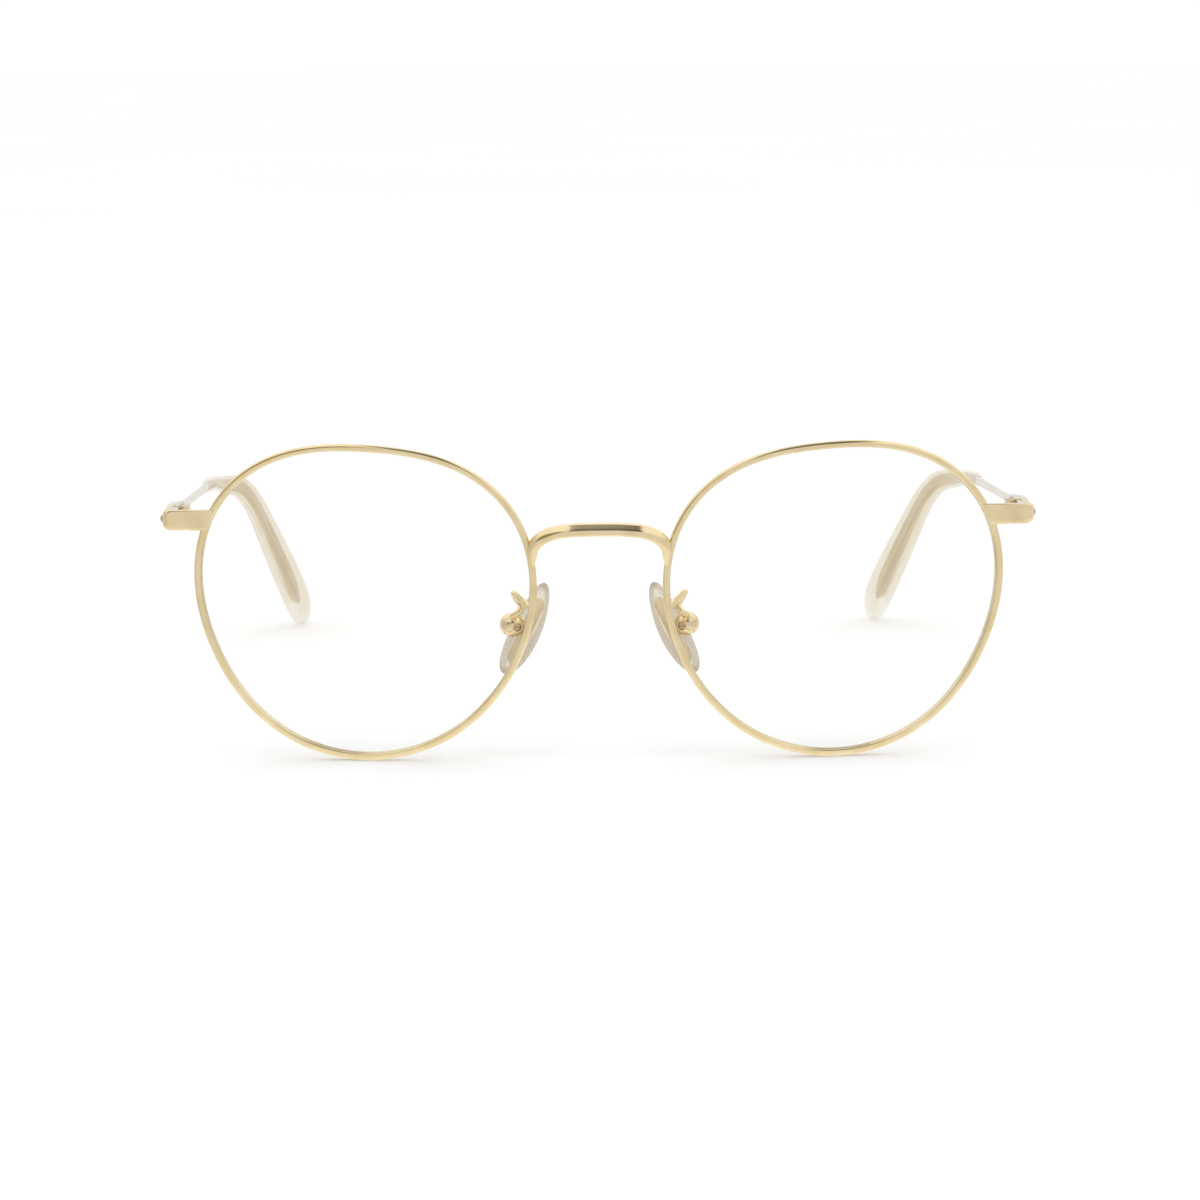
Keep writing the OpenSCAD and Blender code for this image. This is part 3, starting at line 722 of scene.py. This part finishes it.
def temple_rings(ys, ws, hs, es, n):
    """Sections of the given widths, heights and squareness along the temple."""
    p = temple_point(ys)
    t = unit(temple_point(ys + 0.2) - temple_point(ys - 0.2))
    rings = []
    for q, tangent, w, h, e in zip(p, t, ws, hs, es):
        s = unit(np.cross(tangent, [0, 0, 1]))
        u = np.cross(s, tangent)
        section = oval(w, h, e, n)
        rings.append(q + section[:, :1] * s + section[:, 1:] * u)
    return rings


def smooth_lookup(y, table):
    """Lookup with eased steps between the entries."""
    xs, vs = np.array(table, float).T
    y = np.clip(np.asarray(y, float), xs[0], xs[-1])
    i = np.clip(np.searchsorted(xs, y, side="right") - 1, 0, len(xs) - 2)
    h = xs[i + 1] - xs[i]
    f = (y - xs[i]) / h
    slope = np.gradient(vs, xs)
    return ((2 * f**3 - 3 * f**2 + 1) * vs[i] + (f**3 - 2 * f**2 + f) * h * slope[i]
            + (3 * f**2 - 2 * f**3) * vs[i + 1] + (f**3 - f**2) * h * slope[i + 1])


def arm_stations():
    """Distances along the arm, with its width, height and squareness there."""
    y0 = ARM_START
    broken = [y0, y0 + 0.04, y0 + 0.1]
    ys = np.concatenate([broken, np.arange(y0 + 0.25, y0 + 16, 0.25), np.arange(y0 + 16, TIP_START, 1.5),
                         np.linspace(TIP_START, CORE_END, 110)])
    taper = [(y0 + 4, 3.0), (y0 + 5.5, 2.75), (y0 + 7, 2.2), (y0 + 8.5, 1.75), (y0 + 10, 1.5),
             (y0 + 12, 1.38), (y0 + 14, 1.3), (TIP_START - 4, 1.3), (TIP_START + 10, 1.5)]
    core = [(98, 2.4), (110, 3.6), (124, 4.8), (CORE_END - 6, 4.8), (CORE_END - 1.5, 3.6), (CORE_END, 1.6)]
    tall = np.where(ys < y0 + 4, np.interp(ys, broken, [2.7, 2.9, 3.0]), smooth_lookup(ys, taper + core))
    wide = np.interp(ys, broken + [y0 + 4, y0 + 14, TIP_START, TIP_START + 15, CORE_END],
                     [0.9, 1.1, 1.2, 1.2, 1.0, 1.0, 0.95, 0.8])
    square = np.interp(ys, [y0 + 4, y0 + 14], [6.5, 4.0])
    return ys, wide, tall, square


def make_temple_arm(name, mirrored):
    """The arm also stores where each point lies across and along its path, for the painted lengthwise
    streaks of highlight and shade.
    """
    stretch = 0.05
    ys, wide, tall, square = arm_stations()
    obj = new_object(name, [skin(temple_rings(ys, wide, tall, square, ARM_SIDES))], mirrored)
    spots = []
    for y, w, h, e in zip(ys, wide, tall, square):
        section = oval(w, h, e, ARM_SIDES)
        spots.append(np.column_stack([section[:, 0], np.full(ARM_SIDES, stretch * y), section[:, 1]]) * MM)
    path = obj.data.attributes.new("path", "FLOAT_VECTOR", "POINT")
    path.data.foreach_set("vector", np.concatenate(spots).ravel())
    return obj


def tip_stations():
    """Distances along the tip, and how far the section is drawn in there at the mouth and the round end."""
    round_len = 3.4
    body = np.linspace(TIP_START + 1.0, TIP_END - round_len, 90)
    turn = np.radians(np.linspace(5, 89.4, 18))
    mouth = [TIP_START, TIP_START + 0.03, TIP_START + 0.1, TIP_START + 0.22, TIP_START + 0.5]
    ys = np.concatenate([mouth, body, TIP_END - round_len + round_len * np.sin(turn)])
    return ys, np.concatenate([[0.76, 0.83, 0.90, 0.96, 1.0], np.ones(len(body)), np.cos(turn)])


def make_temple_tip(name, mirrored):
    """The tip is marked with how much champagne tint is seen: most along the middle of its sides, none at
    its edges and hardly any at its end."""
    ys, shrink = tip_stations()
    wide = smooth_lookup(ys, [(TIP_START, 2.3), (85, 2.4), (98, 2.6), (108, 2.75), (116, 3.1), (124, 3.4),
                              (130, 3.5), (136, 3.4), (TIP_END, 3.0)])
    tall = smooth_lookup(ys, [(TIP_START, 2.3), (85, 2.8), (98, 3.8), (108, 5.0), (116, 6.2), (124, 7.2),
                              (130, 7.6), (136, 7.1), (TIP_END, 6.2)])
    square = np.full(len(ys), TIP_SQUARE)
    rings = temple_rings(ys, wide * np.sqrt(shrink), tall * shrink, square, TIP_SIDES)
    obj = new_object(name, [skin(rings)], mirrored)
    along = np.interp(ys, [78, 98, CORE_END, CORE_END + 2.2], [0.15, 1, 1, 0.1])
    height = np.abs(oval(2, 2, TIP_SQUARE, TIP_SIDES)[:, 1])
    across = np.clip((1.0 - height) / 0.32, 0, 1)
    set_marks(obj, np.outer(along, across * across * (3 - 2 * across)).ravel())
    return obj


# ---------------------------------------------------------------- nose pads

CUP = np.array([13.3, FRONT_Y + 6.0, EYE_Z - 4.14])
CUP_R, CUP_OPEN_R, CUP_TOP = 1.86, 1.12, 1.2
PAD_UP = unit([-0.4266, 0.1354, 0.894])
PAD_FACE = np.array([-0.7627, 0.4767, -0.4362])
PAD_FACE = unit(PAD_FACE - (PAD_FACE @ PAD_UP) * PAD_UP)
PAD_SIDE = np.cross(PAD_UP, PAD_FACE)
PAD_REACH = 2.75
PAD_LONG, PAD_WIDE, PAD_SHIFT = 7.6, 3.6, 0.3
LUG_R, LUG_HALF = 0.85, 0.47


def on_pad(island):
    """Places a shape drawn with X along the pad, Y across it and Z towards the nose."""
    v, f = island
    v = np.asarray(v, float)
    return CUP + v[:, :1] * PAD_UP - v[:, 1:2] * PAD_SIDE + v[:, 2:] * PAD_FACE, f


def pad_arm():
    """Wire that leaves the rim backwards, loops over and comes down into the cup."""
    path = [(10.15, 0.85, -1.0), (10.45, 2.4, -0.95), (11.5, 3.7, -0.3), (12.4, 4.35, 0.4),
            (12.95, 5.1, 0.8), (12.7, 5.8, 0.0), (11.9, 5.45, -1.15), (12.35, 5.0, -2.05)]
    points = [np.array(q) + (0, FRONT_Y, EYE_Z) for q in path]
    points.append(CUP + 1.68 * unit([0.1, -0.55, 0.83]))
    line = spline(points, 16)
    along = tangents(line)
    wire = oval(1.0, 1.0, 2, 24)
    rings = []
    for p, a, t in zip(line, carried(along, (0, 0, 1)), along):
        rings.append(p + wire[:, :1] * a + wire[:, 1:] * np.cross(t, a))
    return [skin(rings)]


def make_cup(name, mirrored):
    """Domed cup with a slot for the lug and a bore for the pad screw."""
    profile = arc(CUP_R, -89.5, math.degrees(math.asin(CUP_OPEN_R / CUP_R)), 34)
    rim_r, rim_z = profile[-1]
    profile += [(rim_r - 0.03, rim_z + 0.05), (rim_r - 0.1, CUP_TOP), (0.02, CUP_TOP)]
    obj = new_object(name, [on_pad(lathe((0, 0, 0), (0, 0, 1), profile, 72))], mirrored)
    slot = on_pad(block((-3, -0.65, -0.95), (3, 0.65, 3), 0.12, 2))
    bore = on_pad(lathe((0, -1.3, 0), (0, -1, 0), [(0.66, 0.0), (0.66, 2.0)], 40))
    return bevelled(cut(obj, [slot, bore], mirrored), 0.05, 2, 40)


def make_pad_screw(name, mirrored):
    """Cross screw on which the pad rocks."""
    return slotted(name, mirrored, CUP - 1.5 * PAD_SIDE, PAD_SIDE,
                   shank_r=0.35, shank=2.8, head_r=0.62, head=0.36, slot=0.2)


def make_pad_insert(name, mirrored):
    """Metal plate inside the pad, with a round lug that stands on it."""
    half, end_r, plate = 3.9, 1.6, 0.4
    outline = [(half + x, y) for x, y in arc(end_r, -90, 90, 19)]
    outline += [(x - half, y) for x, y in arc(end_r, 90, 270, 19)]
    lug = arc(LUG_R, 180, 360, 19) + [(LUG_R, PAD_REACH), (-LUG_R, PAD_REACH)]
    flat = prism(outline, PAD_REACH - plate / 2, PAD_REACH + plate / 2)
    standing = upright(prism(lug, -LUG_HALF, LUG_HALF))
    return bevelled(new_object(name, [on_pad(flat), on_pad(standing)], mirrored), 0.08, 3, 35)


def make_nose_pad(name, mirrored):
    """Drop-shaped pad, marked with how near each point is to its outline: 1 on it and 0 in the middle. The
    plastic turns this mark into painted shade along the outline.
    """
    n = 96
    b = 2 * np.pi * np.arange(n) / n
    rings = []
    for a in np.radians(np.linspace(-88.5, 88.5, 40)):
        k = math.cos(a) ** 0.55
        x = PAD_LONG * np.cos(b) * (k - 0.16 + 0.16 * math.cos(a) ** 0.3)
        y = PAD_WIDE * np.sin(b) * (1 - 0.14 * np.cos(b)) * k
        z = PAD_REACH + 1.1 * math.sin(a) - 0.45 * (x / PAD_LONG) ** 2
        rings.append(np.stack([x + PAD_SHIFT, y, z], 1))
    drawn, faces = skin(rings)
    obj = new_object(name, [on_pad((drawn, faces))], mirrored)
    outward = np.hypot((drawn[:, 0] - PAD_SHIFT) / PAD_LONG, drawn[:, 1] / PAD_WIDE)
    set_marks(obj, np.clip(outward, 0, 1))
    return obj


# ---------------------------------------------------------------- assembly


def put(side, kind, shape, material, body, angle=SMOOTH_ANGLE):
    """Adds one piece of a side. Its shape is a list of solids, or a function that makes the object."""
    name, mirrored = kind + "_" + side + "_look", side == "right"
    piece = shape(name, mirrored) if callable(shape) else new_object(name, shape, mirrored)
    finish_piece(piece, material, body, [side + "_" + kind], angle)


finish_piece(new_object("bridge_bar", bridge()), gold, "front", ["bridge"])

for side in ("left", "right"):
    temple_body, pad_body = side + "_temple", side + "_pad"
    put(side, "eyewire", eyewire(), gold, "front")
    put(side, "lens", lens(), lens_coat, "front", 25)
    put(side, "pad_arm", pad_arm(), gold, "front")
    put(side, "hinge_front_leaf", front_leaf(), hinge_plating, "front")
    put(side, "hinge_temple_leaf", temple_leaf(), hinge_plating, temple_body)
    put(side, "temple_arm", make_temple_arm, arm_plating, temple_body, 50)
    put(side, "temple_tip", make_temple_tip, acetate, temple_body, 60)
    put(side, "nose_pad", make_nose_pad, silicone, pad_body, 70)
    put(side, "pad_insert", make_pad_insert, gold, pad_body)
    put(side, "end_piece", make_end_piece, gold, "front", 45)
    put(side, "closing_block_upper", make_upper_block, gold, "front")
    put(side, "closing_block_lower", make_lower_block, gold, "front")
    put(side, "rim_screw", make_rim_screw, screw_gold, "front")
    put(side, "hinge_screw", make_hinge_screw, screw_gold, "front")
    put(side, "pad_screw", make_pad_screw, screw_gold, "front")
    put(side, "hinge_rivet", hinge_rivet(), screw_gold, "front")
    put(side, "pad_cup", make_cup, gold, "front", 42)


# ---------------------------------------------------------------- floor, light and camera


def make_floor():
    """Plain pale floor, which polished faces don't mirror."""
    mesh = bpy.data.meshes.new("floor")
    r = 6.0
    mesh.from_pydata([(-r, -r, 0), (r, -r, 0), (r, r, 0), (-r, r, 0)], [], [(0, 1, 2, 3)])
    obj = linked("floor", mesh)
    mat, nodes, links, bsdf = blank("pale_floor")
    paper = ramp_of(nodes, links, noise_of(nodes, links, 3.0, 2.0), [(0.3, (0.93,) * 3), (0.7, (0.95,) * 3)])
    links.new(paper, bsdf.inputs["Base Color"])
    bsdf.inputs["Roughness"].default_value = 1.0
    bsdf.inputs["Specular IOR Level"].default_value = 0.0
    mesh.materials.append(mat)
    obj.visible_glossy = False


def top_light():
    """Large soft lamp above, aimed at the middle of the floor."""
    data = bpy.data.lights.new("top_light", "AREA")
    data.shape, data.size, data.energy = "DISK", 0.9, 1.5
    obj = linked("top_light", data)
    obj.location = (0, -0.1, 1.2)
    obj.rotation_mode = "QUATERNION"
    obj.rotation_quaternion = (-obj.location).to_track_quat("-Z", "Y")
    obj.visible_glossy = False


def studio_world():
    """White surround. Polished faces see it slightly grey, darkest at the left and lighter above and below,
    with a bronze panel at the upper left and a dark strip straight ahead and above."""
    world = bpy.data.worlds.new("studio")
    world.use_nodes = True
    nodes, links = world.node_tree.nodes, world.node_tree.links
    split = nodes.new("ShaderNodeSeparateXYZ")
    links.new(nodes.new("ShaderNodeTexCoord").outputs["Generated"], split.inputs["Vector"])
    x, y, z = (split.outputs[k] for k in "XYZ")

    def level(direction, *stops):
        """Grey levels along a direction, in which 0 is one end of the world and 1 the other."""
        place = range_of(nodes, links, direction, -1, 1)
        return ramp_of(nodes, links, place, [(at, (v, v, v)) for at, v in stops])

    def times(first, *others):
        """The product of two or more colours."""
        for other in others:
            first = mix_of(nodes, links, 1.0, first, other, "MULTIPLY")
        return first

    def fade(mask, colour):
        """White, turning to the colour where the mask is white."""
        return mix_of(nodes, links, mask, (1, 1, 1, 1), colour)

    depth = level(y, (0.0, 0.80), (0.5, 0.82), (0.72, 0.88), (1.0, 0.86))
    height = level(z, (0.0, 1.25), (0.28, 1.2), (0.40, 1.0), (0.66, 1.0), (0.76, 1.3), (1.0, 1.3))
    sides = level(x, (0.0, 0.84), (0.08, 0.86), (0.2, 1.0), (0.8, 1.0), (0.92, 1.0), (1.0, 0.96))
    # the panel is seen as a thin line in the upper left of each rim
    panel = times(level(y, (0.02, 0.0), (0.05, 1.0), (0.20, 1.0), (0.25, 0.0)),
                  level(x, (0.08, 0.0), (0.14, 1.0), (0.38, 1.0), (0.45, 0.0)),
                  level(z, (0.56, 0.0), (0.59, 1.0), (0.76, 1.0), (0.80, 0.0)))
    bronze = (0.40, 0.33, 0.21, 1)
    # the strip is seen along the middle of the bridge
    strip = times(level(x, (0.437, 0.0), (0.445, 1.0), (0.63, 1.0), (0.68, 0.0)),
                  level(z, (0.66, 0.0), (0.72, 1.0)),
                  level(y, (0.50, 1.0), (0.60, 0.0)))
    strip_tone = times(level(z, (0.70, 0.15), (0.80, 0.20), (0.88, 0.36), (1.0, 0.40)),
                       level(x, (0.44, 1.0), (0.52, 0.8), (0.62, 0.55)))
    shaped = times(depth, height, sides, fade(panel, bronze), fade(strip, strip_tone))
    mirrored_ray = nodes.new("ShaderNodeLightPath").outputs["Is Glossy Ray"]
    seen = mix_of(nodes, links, mirrored_ray, (1.06, 1.06, 1.06, 1), shaped)
    links.new(seen, nodes["Background"].inputs["Color"])
    bpy.context.scene.world = world


SENSOR_MM, FOCAL_MM, CAMERA_SHIFT, CAMERA_DISTANCE = 36.0, 119.7, 0.0025, 600.0
YAW, ELEVATION, ROLL = math.radians(-0.93), math.radians(8.6), math.radians(-0.35)


def make_camera():
    """Camera in front and slightly above, aimed between the eyes."""
    data = bpy.data.cameras.new("camera")
    data.sensor_width, data.lens, data.shift_y = SENSOR_MM, FOCAL_MM, CAMERA_SHIFT
    data.clip_start, data.clip_end = 0.01, 50.0
    obj = linked("camera", data)
    level = math.cos(ELEVATION)
    back = Vector((math.sin(YAW) * level, -math.cos(YAW) * level, math.sin(ELEVATION)))
    obj.location = Vector((0, FRONT_Y * MM, EYE_Z * MM)) + back * CAMERA_DISTANCE * MM
    obj.rotation_mode = "QUATERNION"
    aim = (-back).to_track_quat("-Z", "Y")
    obj.rotation_quaternion = aim @ Matrix.Rotation(ROLL, 3, "Z").to_quaternion()
    bpy.context.scene.camera = obj


make_floor()
studio_world()
top_light()
make_camera()
bpy.context.scene.view_settings.view_transform = "Standard"
